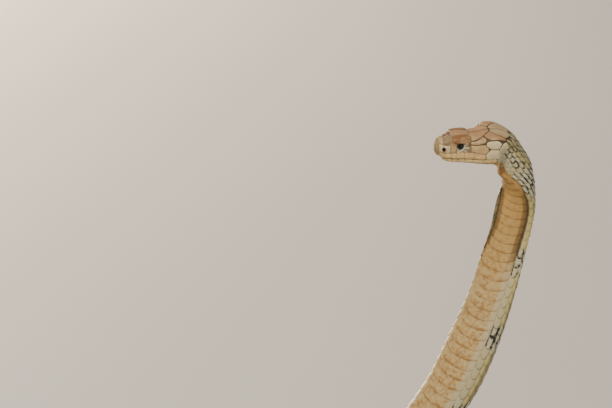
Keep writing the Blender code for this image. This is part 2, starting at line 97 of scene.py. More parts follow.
BELLY_FACES = [
    (0, (0, 0, -1)), (0.088, (0, 0, -1)), (0.100, (-0.05, -0.05, -1)),
    (0.115, (-0.45, -0.12, -0.88)), (0.130, (-0.80, -0.36, -0.50)), (0.145, (-0.78, -0.62, -0.12)),
    (0.160, (-0.58, -0.82, 0)), (0.178, (-0.33, -0.94, 0)), (0.198, (-0.20, -0.98, 0)),
    (0.240, (-0.30, -0.95, 0)), (0.300, (-0.48, -0.87, 0)), (0.450, (-0.66, -0.75, 0)),
    (0.630, (-0.55, -0.83, 0)), (0.750, (-0.38, -0.88, -0.25)), (0.850, (-0.20, -0.62, -0.75)),
    (0.950, (0, 0, -1)), (3.600, (0, 0, -1)),
]
# place, half width, crown, chin or belly, squareness above and below, curl of the neck's edges
SECTIONS = np.array([
    (0, 3.2, 5, 4.6, 2.3, 2.3, 0),
    (1.2, 6.6, 8.8, 8.1, 2.4, 2.4, 0),
    (3.5, 9, 10, 9.8, 2.6, 2.6, 0),
    (7, 11, 10.9, 11.4, 2.8, 2.7, 0),
    (9.5, 12, 11.4, 15.2, 2.9, 2.6, 0),
    (13, 13.1, 12.6, 18, 3, 2.6, 0),
    (19, 15.2, 15.7, 19.8, 3.3, 2.7, 0),
    (24, 16.2, 16.5, 20.4, 3.4, 2.8, 0),
    (30, 17, 16.6, 21, 3.4, 2.8, 0),
    (40, 19.2, 15.8, 22, 3, 2.8, 0),
    (50, 22.4, 15.6, 22.8, 2.6, 2.8, 0),
    (55, 24.3, 16, 23.1, 2.7, 2.8, -0.8),
    (60, 27, 17.2, 23.4, 3.2, 2.8, -3),
    (66, 28.7, 18, 23.6, 3.5, 2.8, -4.2),
    (73, 28.9, 18, 23.6, 3.4, 2.7, -4),
    (80, 27.2, 17.4, 22.6, 2.9, 2.5, -2.4),
    (86, 25, 16.4, 20.4, 2.5, 2.3, -0.8),
    (96, 23.4, 14, 18.8, 2.2, 2.1, 0.4),
    (107, 23.6, 13, 25.5, 2.1, 2, 1),
    (120, 24.2, 14, 27.5, 2, 1.9, 2),
    (138, 25.4, 12.2, 20.5, 2, 1.9, 4),
    (161, 25.4, 11.3, 12.8, 2, 1.8, 6),
    (185, 24.7, 11.4, 9.8, 2, 1.8, 6.6),
    (207, 24.5, 12, 9.4, 2, 1.8, 6),
    (231, 25.6, 12.9, 10.2, 2, 1.9, 5),
    (257, 26.9, 14.1, 11.4, 2, 2, 3.8),
    (294, 28.4, 16, 13.2, 2, 2.1, 2.4),
    (334, 30.8, 18, 15, 2, 2.2, 1.4),
    (362, 32.2, 19.4, 16.4, 2, 2.3, 0.8),
    (395, 32.8, 20.6, 17.2, 2, 2.4, 0.3),
    (430, 31.8, 21.2, 17.8, 2, 2.4, 0),
    (470, 31.5, 21.8, 18.4, 2, 2.4, 0),
    (570, 32.2, 24.4, 20, 2, 2.4, 0),
    (750, 33, 26.5, 21.2, 2, 2.5, 0),
    (950, 33.2, 27, 21.8, 2, 2.7, 0),
    (1500, 33.8, 27.5, 22.2, 2, 2.8, 0),
    (2200, 32, 26, 21, 2, 2.8, 0),
    (2520, 28.2, 23, 18.6, 2, 2.7, 0),
    (2790, 21, 17.4, 14.4, 2, 2.6, 0),
    (2830, 18.6, 15.6, 12.8, 2, 2.5, 0),
    (3000, 14.2, 12, 9.8, 2, 2.4, 0),
    (3200, 9.3, 8, 6.6, 2, 2.3, 0),
    (3400, 4.6, 4.1, 3.6, 2, 2.2, 0),
    (3500, 1.6, 1.6, 2, 2, 2, 0),
])


def slopes(x, y):
    """Slopes of a smooth curve through the rows of y that never overshoots them."""
    rise = np.diff(y, axis=0) / np.diff(x)[:, None]
    inner = np.where(rise[:-1] * rise[1:] > 0,
                     2 * rise[:-1] * rise[1:] / (rise[:-1] + rise[1:] + 1e-30), 0)
    return np.vstack([rise[:1], inner, rise[-1:]])


def smooth_rows(x, y, slope, at):
    """The rows of y at many places, on the cubic pieces between the keys."""
    i = np.clip(np.searchsorted(x, at) - 1, 0, len(x) - 2)
    width = (x[i + 1] - x[i])[:, None]
    t = np.clip((at - x[i])[:, None] / width, 0, 1)
    start = (1 + 2 * t) * (1 - t) ** 2 * y[i] + t * (1 - t) ** 2 * width * slope[i]
    end = t * t * (3 - 2 * t) * y[i + 1] + t * t * (t - 1) * width * slope[i + 1]
    return start + end


def b_spline(corners, steps=20):
    """Points on a cubic B-spline that starts and ends at the first and last corner."""
    corners = np.array(corners, float)
    p = np.vstack([2 * corners[0] - corners[1], corners, 2 * corners[-1] - corners[-2]])
    points = []
    for i in range(len(p) - 3):
        for t in np.arange(steps) / steps:
            weights = ((1 - t) ** 3, 3 * t ** 3 - 6 * t * t + 4,
                       -3 * t ** 3 + 3 * t * t + 3 * t + 1, t ** 3)
            points.append(sum(w * q for w, q in zip(weights, p[i:i + 4])) / 6)
    points.append(corners[-1])
    return np.array(points)


def unit(v):
    return v / np.maximum(np.linalg.norm(v, axis=-1, keepdims=True), 1e-12)


def ramp(x, low, high):
    """A smooth rise from 0 at low to 1 at high, or a fall where low is the greater."""
    t = np.clip((x - low) / (high - low), 0, 1)
    return t * t * (3 - 2 * t)


class Form:
    """The animal's outer form: turn is 0 on the back, 90 on its left side, 180 on the belly."""

    STEP_ALONG, STEP_ROUND = 0.0008, 2      # metres and degrees, to find the outward direction

    def __init__(self):
        corners = [SNOUT + HEAD_AXIS * d for d in HEAD_CORNERS] + REARED_ROUTE
        for degrees in np.arange(COIL_FROM, COIL_TO, COIL_STEP):
            angle = math.radians(degrees)
            radius = COIL_RADIUS + COIL_WAVE * math.sin(COIL_LOBES * angle + COIL_PHASE)
            corners.append((COIL_MIDDLE[0] + radius * math.cos(angle),
                            COIL_MIDDLE[1] + radius * math.sin(angle), 0))
        line = b_spline(corners + TAIL_ROUTE) + SHIFT
        self.keys = SECTIONS[:, 0] * MM
        self.sizes = SECTIONS[:, 1:]
        self.size_slopes = slopes(self.keys, self.sizes)
        self.s = np.concatenate([[0], np.cumsum(np.linalg.norm(np.diff(line, axis=0), axis=1))])
        resting = self.section(self.s)[:, 2] * MM - FLOOR_PRESS
        over = line[:, 2] - resting
        line[:, 2] = resting + 0.5 * (over + np.sqrt(over ** 2 + TOUCH_DOWN ** 2))
        line[self.s > LIES_FROM, 2] = resting[self.s > LIES_FROM]
        self.line = line
        self.along = np.gradient(line, self.s, axis=0)
        keys = np.array([k for k, _ in BELLY_FACES])
        faces = np.array([v for _, v in BELLY_FACES])
        self.faces = smooth_rows(keys, faces, slopes(keys, faces), self.s)

    def section(self, s):
        return smooth_rows(self.keys, self.sizes, self.size_slopes, s)

    def between(self, rows, s):
        return np.stack([np.interp(s, self.s, rows[:, k]) for k in range(3)], -1)

    def frame(self, s):
        tail = unit(self.between(self.along, s))
        belly = self.between(self.faces, s)
        belly = unit(belly - tail * (belly * tail).sum(-1, keepdims=True))
        return self.between(self.line, s), tail, -belly, np.cross(belly, tail)

    def local(self, s, turn):
        """How far left and up of the middle line a point lies, in mm."""
        half, crown, chin, above, below, curl = self.section(s).T
        sine, cosine = np.sin(np.radians(turn)), np.cos(np.radians(turn))
        power = 2 / np.where(cosine >= 0, above, below)
        across = np.sign(sine) * np.abs(sine) ** power
        height = np.where(cosine >= 0, crown, -chin)
        return half * across, height * np.abs(cosine) ** power - curl * across ** 4

    def bare(self, s, turn):
        place, _, up, left = self.frame(s)
        y, z = self.local(s, turn)
        return place + left * (y * MM)[:, None] + up * (z * MM)[:, None]

    def outward(self, s, turn):
        before = np.maximum(s - self.STEP_ALONG, 0)
        ahead = self.bare(s + self.STEP_ALONG, turn) - self.bare(before, turn)
        sideways = self.bare(s, turn + self.STEP_ROUND) - self.bare(s, turn - self.STEP_ROUND)
        return unit(np.cross(sideways, ahead))


form = Form()


# Head. Bone and jaw muscle shape it: a square snout, a brow that overhangs the eye, a socket, a
# nostril, full lips and the shut line of the mouth. These are heights in mm over the plain form.
EYE_AT = (29.6, 5)                  # back from the snout, up
EYE_OUT, EYE_SIZE = 13.35, 4.35     # middle of the ball out from the head's middle, and its radius
NOSTRIL_AT, NOSTRIL_TALL = (10.4, 0.1), 1.25
MOUTH_KEYS = ([0, 7.7, 20, 42.7, 60, 70, 77], [11.3, 11.3, 11.5, 11.8, 11.5, 10.8, 9.6])
MOUTH_END = 77
BROW_RISE, CHEEK_RISE = 2.2, 0.7
SOCKET_DEEP, NOSTRIL_DEEP, MOUTH_DEEP = 3.4, 2.8, 0.7
THROAT_FULLNESS = ((4.2, 80, 5.5), (3.4, 93, 8.5), (2.6, 140, 30), (1.4, 200, 35))


def hump(x, middle, reach):
    """A round swelling: 1 at the middle, falling off over this reach."""
    return np.exp(-((x - middle) / reach) ** 2)


def relief(s, turn):
    """What the features of head and throat add to the plain form, in mm outwards."""
    x = s / MM
    _, z = form.local(s, turn)
    head = ramp(x, 92, 84)
    steep = np.abs((turn + 180) % 360 - 180)
    brow = BROW_RISE * ramp(x, 17.6, 21) * ramp(x, 43.5, 39)
    brow = brow * ramp(steep, 24, 52) * ramp(steep, 70.5, 67)
    eye = np.hypot(x - EYE_AT[0], z - EYE_AT[1])
    side = (z < 12.5) & (z > -9)
    socket = np.where(side, -SOCKET_DEEP * ramp(eye, 4.2, 3.6), 0)
    lid = np.clip((EYE_AT[1] + 1 - z) / 3, 0, 1)
    rim = np.where(side, (0.45 + 0.75 * lid) * hump(eye, 4.8, 0.85), 0)
    hollow = -0.9 * np.exp(-((x - 22.5) / 4.5) ** 2 - ((z - 3) / 4) ** 2)
    nostril = np.hypot((x - NOSTRIL_AT[0]) / 0.95, (z - NOSTRIL_AT[1]) / NOSTRIL_TALL)
    pit = -NOSTRIL_DEEP * ramp(nostril, 2.4, 1.3) + 0.4 * hump(nostril, 3, 0.8)
    gape = z + np.interp(x, *MOUTH_KEYS)
    mouth = ramp(x, 4.5, 7.5) * ramp(x, MOUTH_END + 1.5, MOUTH_END - 3)
    lips = mouth * (0.5 * hump(gape, 2.6, 2.2) + 0.4 * hump(gape, -2.4, 2)
                    - MOUTH_DEEP * hump(gape, 0, 0.4))
    cheek = CHEEK_RISE * np.exp(-((x - 68) / 8) ** 2 - ((z + 3) / 6) ** 2)
    full = sum(height * hump(x, middle, reach) for height, middle, reach in THROAT_FULLNESS)
    throat = ramp(steep, 100, 150) * full
    return head * (brow + socket + rim + hollow + pit + lips + cheek) + throat


HEAD_SINK, BODY_SINK = 0.0003, 0.00045


def skin_depth(s):
    """How deep under the solids' surface the skin lies, to leave room for shields and scales."""
    return HEAD_SINK + BODY_SINK * ramp(s, 0.08, 0.1)


def spot(s, turn, out=0):
    """Points at a height over the skin, in metres, and never under the floor."""
    s, turn = np.asarray(s, float), np.asarray(turn, float)
    shape = s.shape
    s, turn = s.ravel(), turn.ravel()
    rise = relief(s, turn) * MM - skin_depth(s) + np.broadcast_to(out, shape).ravel()
    points = form.bare(s, turn) + form.outward(s, turn) * rise[:, None]
    points[:, 2] = np.maximum(points[:, 2], 0)
    return points.reshape(shape + (3,))


# Skin. One soft hide runs unbroken from the lips to the tip of the tail, thin and dark between the
# shields and scales that grow from it; that dark is partly its own colour and partly painted shade.
# It is laid in rings, close on the head and wider on the body.
HEAD_RINGS_END = 0.089
HEAD_ROUND, BODY_ROUND = 240, 60
BODY_RING, BODY_RINGS = 0.0055, 620


class Shade:
    """A value or colour that varies over a surface, as a socket of a material's node tree."""

    def __init__(self, tree, socket=None):
        self.tree, self.socket = tree, socket

    def node(self, kind, settings=None, sockets=None, out=0):
        """One node: its settings first, then the values or links of its sockets."""
        made = self.tree.nodes.new(kind)
        for name, value in (settings or {}).items():
            setattr(made, name, value)
        for name, value in (sockets or {}).items():
            if isinstance(value, Shade):
                self.tree.links.new(value.socket, made.inputs[name])
            elif isinstance(value, tuple) and len(value) == 3 and made.inputs[name].type == "RGBA":
                made.inputs[name].default_value = (*value, 1)
            else:
                made.inputs[name].default_value = value
        return Shade(self.tree, made.outputs[out])

    def sum(self, operation, *values):
        return self.node("ShaderNodeMath", {"operation": operation}, dict(enumerate(values)))

    def _maths(operation, swapped=False):
        def worked(self, other):
            pair = (other, self) if swapped else (self, other)
            return self.sum(operation, *pair)
        return worked

    __add__, __radd__ = _maths("ADD"), _maths("ADD", True)
    __sub__, __rsub__ = _maths("SUBTRACT"), _maths("SUBTRACT", True)
    __mul__, __rmul__ = _maths("MULTIPLY"), _maths("MULTIPLY", True)
    __truediv__ = _maths("DIVIDE")

    def rise(self, low, high):
        """A smooth step from 0 at low to 1 at high."""
        return self.node("ShaderNodeMapRange", {"interpolation_type": "SMOOTHSTEP"},
                         {"Value": self, "From Min": low, "From Max": high})

    def fall(self, low, high):
        return 1 - self.rise(low, high)

    def near(self, middle, reach):
        """1 at the middle, falling smoothly to 0 at this reach on either side."""
        return self.sum("ABSOLUTE", self - middle).fall(0, reach)

    def over(self, *coats):
        """This colour with others laid over it in turn, each with its share from 0 to 1."""
        mixed = self
        for colour, share in coats:
            mixed = self.node("ShaderNodeMix", {"data_type": "RGBA"},
                              {0: share, 6: mixed, 7: colour}, 2)
        return mixed


class Finish(Shade):
    """A new material with one Principled shader, and what can be read over its surface."""

    def __init__(self, material, roughness=0.4, coat=0, coat_roughness=0.2, specular=0.5):
        self.material = bpy.data.materials.new(material)
        self.material.use_nodes = True
        super().__init__(self.material.node_tree)
        self.shader = self.tree.nodes["Principled BSDF"]
        even = {"Roughness": roughness, "Coat Weight": coat, "Coat Roughness": coat_roughness,
                "Specular IOR Level": specular}
        for name, value in even.items():
            self.shader.inputs[name].default_value = value
        self.place = self.node("ShaderNodeTexCoord", out=3)

    def read(self, name, out=2):
        """A number (or with out=0 a colour) that the mesh holds at its points."""
        return self.node("ShaderNodeAttribute", {"attribute_name": name}, out=out)

    def colour(self, rgb):
        return self.node("ShaderNodeMix", {"data_type": "RGBA"}, {0: 0, 6: rgb, 7: rgb}, 2)

    def noise(self, size, detail=3, rough=0.55):
        """Noise from 0 to 1 with features about this size in metres."""
        return self.node("ShaderNodeTexNoise", None, {"Vector": self.place, "Scale": 1 / size,
                                                      "Detail": detail, "Roughness": rough})

    def wear(self, colour=None, roughness=None, coat=None, height=None, deep=0.0002):
        """Feeds the shader with what varies over the surface."""
        fed = {"Base Color": colour, "Roughness": roughness, "Coat Weight": coat}
        for name, value in fed.items():
            if value is not None:
                self.tree.links.new(value.socket, self.shader.inputs[name])
        if height is not None:
            bump = self.node("ShaderNodeBump", None, {"Height": height, "Distance": deep})
            self.tree.links.new(bump.socket, self.shader.inputs["Normal"])
        return self.material


BAND_FIRST, BAND_STEP = 0.23, 0.0985     # black-edged pale bands cross the back
OLIVE, CREAM, PALE = (0.21, 0.16, 0.045), (0.42, 0.33, 0.125), (0.52, 0.47, 0.29)
TAIL_OLIVE, BLACK = (0.075, 0.058, 0.022), (0.008, 0.007, 0.006)
OCHRE, ORANGE, WHITISH = (0.535, 0.345, 0.125), (0.37, 0.19, 0.052), (0.55, 0.465, 0.265)
THROAT, LEMON, SHADOW = (0.47, 0.26, 0.065), (0.62, 0.5, 0.18), (0.085, 0.055, 0.018)
# a brown for the joints between belly scutes, and a brown for painted shadow under the neck's
# curled fold
JOINT_BROWN, FOLD_SHADOW_BROWN = (0.22, 0.12, 0.03), (0.15, 0.075, 0.02)


def hide_markings_and_shade(f, edge, flank, lot):
    """The colour of hide and scales alike, with painted shade between the scales, on the hood's far
    flank and under the neck's fold, and the fine grain in it. Edge is 1 at a scale's rim, flank is
    1 at its two sides, and lot differs from scale to scale."""
    along, far = f.read("along"), f.read("far")
    mottle, speck = f.noise(0.03), f.noise(0.0045)
    patch, fleck = f.noise(0.0105), f.noise(0.0075)
    raised = along.rise(0.185, 0.235) * along.fall(1, 1.7)
    turn = f.read("turn") + far * raised * along.fall(0.7, 1) * 12
    hooded = along.rise(0.138, 0.16) * along.fall(0.215, 0.25)

    # the back and flanks: cream at the neck, more olive behind, lemon beside the belly, and painted
    # shade on the hood's far flank
    back = f.colour(CREAM).over(
        (OLIVE, along.rise(0.17, 0.6) * 0.65 + mottle.rise(0.35, 0.7) * 0.3),
        (TAIL_OLIVE, along.rise(0.8, 2.4) * 0.8),
        (OLIVE, lot.rise(0.45, 1) * 0.45),
        (PALE, along.fall(0.098, 0.125) * turn.rise(58, 80) * 0.75),
        (LEMON, turn.near(102, 16) * raised * 0.85),
        (WHITISH, turn.rise(108, 113) * raised * 0.75),
        (LEMON, hooded * turn.rise(45, 80) * 0.6),
        (SHADOW, hooded * far * turn.rise(84, 104) * (0.35 + 0.9 * patch)))

    # pale bands, the black marks of the bands and the nape, and painted shade between the scales at
    # their rims
    cycle = (along - BAND_FIRST) / BAND_STEP + 0.5 + (mottle - 0.5) * 0.14
    band = f.sum("FRACT", cycle + 40).near(0.5, 0.22).rise(0.06, 0.45)
    nape = along.rise(0.074, 0.086) * along.fall(0.15, 0.19) * turn.fall(86, 112)
    blot = patch + along.fall(0.1, 0.145) * 0.13 + turn.fall(40, 80) * 0.05
    tips = f.sum("MAXIMUM", flank, edge * fleck.rise(0.4, 0.52))
    band_ink = tips.rise(0.38, 0.6) * band * (0.5 + 1.1 * speck.rise(0.42, 0.54))
    nape_ink = tips.rise(0.42, 0.62) * nape * blot.rise(0.45, 0.52)
    inked = f.sum("MAXIMUM", band_ink, nape_ink * (0.3 + speck.rise(0.4, 0.52)))
    back = back.over(
        (PALE, band * 0.8),
        (SHADOW, edge.rise(0.55, 1) * nape * 0.6),
        (BLACK, inked * (lot + speck * 0.5).rise(0.3, 0.5)),
        (SHADOW, edge.rise(0.72, 1) * (0.25 + 0.35 * along.rise(0.2, 0.3))))

    # the belly: ochre with orange mottling and arcs, pale flecks that are partly real and partly
    # painted glints, whitish at the scutes' ends
    ends = turn.fall(140, 150) * along.rise(0.215, 0.27)
    arcs = edge.rise(0, 0.8) * (patch.rise(0.36, 0.58) * (0.45 + speck.rise(0.4, 0.56)) + 0.12)
    belly = f.colour(OCHRE).over(
        (WHITISH, mottle.rise(0.45, 0.7) * 0.25),
        (ORANGE, speck.rise(0.47, 0.62) * 0.85 * patch.rise(0.32, 0.56)),
        (LEMON, speck.fall(0.34, 0.48) * 0.5),
        (THROAT, along.rise(0.088, 0.1) * along.fall(0.16, 0.3) * 0.8),
        (WHITISH, ends * (0.48 + 0.5 * patch)),
        (ORANGE, arcs * (1 - 0.75 * ends)),
        (JOINT_BROWN, edge.rise(0.86, 1) * 0.25),
        (f.colour(OLIVE).over((ORANGE, 0.5)), along.rise(0.9, 2.8) * 0.55))

    # both, with painted shadow, brown and dark, under the fold where the narrowed neck curls
    # forward
    fold = turn.near(129, 10).rise(0.1, 0.7) * hooded
    tone = back.over(
        (belly, turn.rise(126, 129)),
        (FOLD_SHADOW_BROWN, turn.near(137, 18).rise(0, 0.8) * hooded * 0.8),
        (SHADOW, fold * (0.55 + 0.7 * patch)))
    return tone, speck


def new_piece(name, points, faces, material, smooth=35):
    """A mesh piece that rides on the body, with its points, faces and material."""
    mesh = bpy.data.meshes.new(name)
    mesh.from_pydata(points, [], faces)
    mesh.materials.append(material)
    mesh.shade_smooth()
    if smooth:
        mesh.set_sharp_from_angle(angle=math.radians(smooth))
    piece = put(name, mesh)
    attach(piece, "root")
    return piece


def keep_numbers(piece, **numbers):
    """Numbers at each point, which the material reads."""
    for name, values in numbers.items():
        held = piece.data.attributes.new(name, "FLOAT", "POINT")
        held.data.foreach_set("value", np.asarray(values, np.float32).ravel())


def lay_out(piece, u, v):
    """The flat map of a piece, from each corner's place on the unwrapped hide."""
    layer = piece.data.uv_layers.new(name="OFBake")
    layer.uv.foreach_set("vector", np.stack([u, v], -1).astype(np.float32).ravel())


def roll_at(s):
    """How far the belly row is turned to the snake's right on the raised body, in degrees."""
    return np.interp(s, (0.13, 0.24, 0.66, 0.85), (0, 14, 14, 0))


def askew(s, turn):
    """Turn in the pattern, from the middle of the back, and 1 for the snake's right, 0 for left."""
    wrapped = (turn - roll_at(s) + 180) % 360 - 180
    return {"turn": np.abs(wrapped), "far": wrapped < 0}


def ring_turns(count, s):
    """Turns round one ring; on the head they gather at the mouth line on each side."""
    share = np.linspace(-1, 1, count + 1)[1:]
    x = s / MM
    drop = np.interp(x, *MOUTH_KEYS)
    _, _, chin, _, below, _ = form.section(np.array([s]))[0]
    mouth = 180 - math.degrees(math.acos(min(drop / chin, 0.999) ** (below / 2)))
    gather = float(ramp(x, 5, 9) * ramp(x, 88, 78))
    if gather <= 0:
        return share * 180
    half = np.abs(share)
    at = 0.62                       # the share of the points that lies above the mouth
    upper = mouth * (half / at - 0.1 * np.sin(math.pi * half / at) * (half / at))
    lower = mouth + (180 - mouth) * ((half - at) / (1 - at)) ** 1.35
    drawn = np.where(half <= at, upper, lower)
    return np.sign(share) * (half * 180 * (1 - gather) + drawn * gather)


head_places = np.concatenate([np.array([0, 0.15, 0.4, 0.8]), np.arange(1.3, 6, 0.55),
                              np.arange(6.1, 46, 0.62), np.arange(46.4, 89, 0.8)]) * MM
head_places[0] = 0.00002
even_turns = np.linspace(-180, 180, BODY_ROUND + 1)[1:]
rings = [(s, ring_turns(HEAD_ROUND, s)) for s in np.append(head_places, HEAD_RINGS_END)]
rings += [(s, even_turns)
          for s in np.linspace(HEAD_RINGS_END + BODY_RING, BODY_LENGTH, BODY_RINGS)]
all_places = np.concatenate([np.full(len(turns), s) for s, turns in rings])
all_turns = np.concatenate([turns for _, turns in rings])
starts = np.concatenate([[0], np.cumsum([len(turns) for _, turns in rings])])
STRIPS, HEAD_STRIP = 8, 0.26
strip_length = (BODY_LENGTH - HEAD_RINGS_END) / STRIPS


def map_place(s, turn, strip):
    """A place on the flat hide: the head in a wide strip, the body in narrow ones above it."""
    if strip < 0:
        return s / HEAD_RINGS_END, (turn / 360 + 0.5) * (HEAD_STRIP - 0.01)
    low = HEAD_STRIP + (1 - HEAD_STRIP) * strip / STRIPS
    return ((s - HEAD_RINGS_END) / strip_length - strip,
            low + (turn / 360 + 0.5) * ((1 - HEAD_STRIP) / STRIPS - 0.004))


faces, on_map = [], []
for i, ((s0, turns), (s1, next_turns)) in enumerate(zip(rings, rings[1:])):
    here, after = len(turns), len(next_turns)
    ratio = here // after
    strip = -1 if here == HEAD_ROUND and ratio == 1 else min(
        int((0.5 * (s0 + s1) - HEAD_RINGS_END) / strip_length), STRIPS - 1)
    for j in range(after):
        k = (j + 1) % after
        front = [(j * ratio + ratio - 1 + r) % here for r in range(ratio, -1, -1)]
        faces.append([starts[i + 1] + j, starts[i + 1] + k] + [starts[i] + n for n in front])
        corner_turns = np.append(next_turns[[j, k]], turns[front])
        if k == 0:
            corner_turns[corner_turns > 90] -= 360
        corner_places = [s1, s1] + [s0] * (ratio + 1)
        on_map += [map_place(s, t, strip) for s, t in zip(corner_places, corner_turns)]
faces.append([starts[0] + j for j in range(HEAD_ROUND)])
on_map += [(0, 0.12)] * HEAD_ROUND
faces.append([starts[-2] + j for j in reversed(range(BODY_ROUND))])
on_map += [(0.999, 0.999)] * BODY_ROUND
on_map = np.array(on_map)

# the hide's own colour under the head shields, and a dark for the seams behind the eyes and for
# painted shade in the mouth's shut line and the nostril
UNDER_SHIELDS, SEAM_DARK_AND_SHADE = (0.3, 0.21, 0.1), (0.06, 0.036, 0.02)
# gum red, and a pale grey for a painted highlight on the eye's rim
GUM_RED, LID_HIGHLIGHT = (0.11, 0.018, 0.01), (0.56, 0.56, 0.48)
hide = Finish("hide", roughness=0.6, specular=0.25)
# the hide reads as a scale's rim everywhere, so it takes the painted shade between the scales
edge_here = hide.read("gap")
tone, grain = hide_markings_and_shade(hide, edge_here, edge_here, hide.read("lot"))
# laid over: the hide under the shields, the dark seams with painted shade in mouth and nostril, gum
# red, and a painted highlight round the eye
tone = tone.over((UNDER_SHIELDS, hide.read("along").fall(0.06, 0.08) * 0.8),
                 (SEAM_DARK_AND_SHADE, hide.read("dark")), (GUM_RED, hide.read("red")),
                 (LID_HIGHLIGHT, hide.read("pale")))
skin = new_piece("skin", spot(all_places, all_turns), faces, hide.wear(tone, height=grain),
                 smooth=0)
x = all_places / MM
_, z = form.local(all_places, all_turns)
gape = z + np.interp(x, *MOUTH_KEYS)
mouth = (x > 5.5) * ramp(x, MOUTH_END + 2, MOUTH_END - 1) * np.exp(-(gape / 0.7) ** 2)
nostril = np.hypot(x - NOSTRIL_AT[0], (z - NOSTRIL_AT[1]) / NOSTRIL_TALL)
eye = np.hypot(x - EYE_AT[0], z - EYE_AT[1])
rear_grooves = ramp(x, 40, 46) * ramp(x, 90, 84) * ramp(z, -1, 4)
# a painted highlight on the rim below and behind the eye
pale = ramp(eye, 3.4, 3.9) * ramp(eye, 5.6, 4.9) * ramp(z - 0.35 * x, -4.2, -7.2) * (z > -6)
# painted shade along the mouth's shut line and in the nostril, and the seams behind the eyes in
# their own dark colour
dark = mouth * 0.35 + rear_grooves * 0.9 + ramp(nostril, 2.7, 1.9) * (x < 20)
red = ramp(nostril, 2.5, 1.7) * (x < 20) * 0.8 + mouth * hump(x, 20, 3) * 0.7
keep_numbers(skin, along=all_places, **askew(all_places, all_turns),
             gap=np.full(len(x), 0.95), lot=np.full(len(x), 0.9),
             pale=pale, dark=np.clip(dark, 0, 1), red=np.clip(red, 0, 1))
lay_out(skin, on_map[:, 0], on_map[:, 1])
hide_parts("head", "lower_jaw", "neck", "hood", "forebody_upper", "forebody_lower",
            "forebody_foot", "forebody_heel", "midbody_1", "midbody_2", "midbody_3", "midbody_4",
            "hindbody_1", "hindbody_2", "hindbody_3", "tail_base", "tail_middle", "tail_tip")


# Eyes. A clear, lidless scale covers each eyeball, so it shines all over: a round black pupil in
# a dark bronze iris with a thin gold line round the pupil.
PUPIL, IRIS = 0.56, 1.02          # radii seen from the eye's middle, in radians

BRONZE, BRONZE_LIGHT, GOLD = (0.022, 0.015, 0.008), (0.07, 0.042, 0.016), (0.2, 0.125, 0.045)
PUPIL_BLACK, EYE_RIM = (0.003, 0.003, 0.003), (0.01, 0.008, 0.006)

glass = Finish("eye", roughness=0.1, coat=0.18, coat_roughness=0.03, specular=0.2)
look = glass.read("look")
iris = glass.colour(BRONZE).over(
    (BRONZE_LIGHT, glass.noise(0.0005).rise(0.4, 0.7)),
    (GOLD, look.near(PUPIL + 0.04, 0.06) * 0.7),
    (PUPIL_BLACK, look.fall(PUPIL - 0.02, PUPIL + 0.02)),
    (EYE_RIM, look.rise(IRIS - 0.22, IRIS)))
glass.wear(iris)
head_place, head_tail, head_up, head_left = [v[0] for v in form.frame(np.array([0]))]
for side, name in ((1, "eye_left"), (-1, "eye_right")):
    ball = bmesh.new()
    bmesh.ops.create_uvsphere(ball, u_segments=48, v_segments=32, radius=EYE_SIZE * MM)
    middle = (head_place + head_tail * EYE_AT[0] * MM + head_left * side * EYE_OUT * MM
              + head_up * EYE_AT[1] * MM)
    aim = unit(head_left * side + head_tail * -0.2 + head_up * 0.1)
    turned = Vector(aim).to_track_quat("Z", "Y").to_matrix()
    ball.verts.index_update()
    from_axis = [math.acos(max(-1, min(1, v.co.z / (EYE_SIZE * MM)))) for v in ball.verts]
    points = [Vector(middle) + turned @ v.co for v in ball.verts]
    faces = [[v.index for v in face.verts] for face in ball.faces]
    eye = new_piece(name + "_ball", points, faces, glass.material, smooth=0)
    ball.free()
    keep_numbers(eye, look=from_axis)
    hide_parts(name)


# Head shields. Large smooth horny plates cover the head, each in its own place; they are tan, brown
# over the eyes and pale on the cheeks, with dark seams behind the eyes. Outlines are in mm back
# from the snout and then out from the middle, up the side, or out under the chin.
SHIELD_LIFT = 0.00045
SEAM_HALF = 0.13


def turn_out(x, y, squareness):
    """The turn from the middle line of a point this far out, by one column of the section."""
    here = form.section(np.array([x * MM]))[0]
    share = min(abs(y) / here[0], 1)
    return math.copysign(math.degrees(math.asin(share ** (here[squareness] / 2))), y)


def top(x, y):
    """A point of an outline on top of the head, this far out from the middle, as x and turn."""
    return x, turn_out(x, y, 3)


def side(x, z):
    """A point on the side of the head at a height over its middle line."""
    turns_here = np.linspace(20, 172, 600)
    _, heights = form.local(np.full(600, x * MM), turns_here)
    return x, float(turns_here[np.argmin(np.abs(heights - z))])


def under(x, y):
    """A point under the chin, this far out from the middle."""
    return x, 180 - turn_out(x, y, 4)


def about(middle, radius, degrees):
    """A point on the side of the head, on a ring round this middle."""
    angle = math.radians(degrees)
    return side(middle[0] + radius * math.cos(angle), middle[1] + radius * math.sin(angle))


def lid(radius, degrees):
    """A point round the eye."""
    return about(EYE_AT, radius, degrees)


def lip(x, over):
    """A point on the side of the head over the line of the mouth."""
    return side(x, -float(np.interp(x, *MOUTH_KEYS)) + over)


def rounded(outline, step=0.65, corner=1):
    """The outline with its corners cut round and points set close and even along it."""
    p = np.array(outline, float)
    places = p[:, 0] * MM
    degree = form.bare(places, p[:, 1] + 1) - form.bare(places, p[:, 1] - 1)
    girth = np.linalg.norm(degree, axis=1).mean() / 2 / MM
    p[:, 1] *= girth
    for cut in (corner, corner * 0.4):
        after = np.roll(p, -1, 0) - p
        length = np.maximum(np.linalg.norm(after, axis=1, keepdims=True), 1e-6)
        share = np.minimum(cut / length, 0.3)
        p = np.stack([p + after * share, p + after * (1 - share)], 1).reshape(-1, 2)
    loop = np.vstack([p, p[:1]])
    run = np.concatenate([[0], np.cumsum(np.linalg.norm(np.diff(loop, axis=0), axis=1))])
    count = max(16, int(run[-1] / step))
    at = np.linspace(0, run[-1], count + 1)[:-1]
    even = np.stack([np.interp(at, run, loop[:, k]) for k in range(2)], 1)
    even[:, 1] /= girth
    return even


def over_skin(flat, out=0):
    """Points over the skin, given by their places in mm and turns."""
    return spot(flat[:, 0] * MM, flat[:, 1], out)


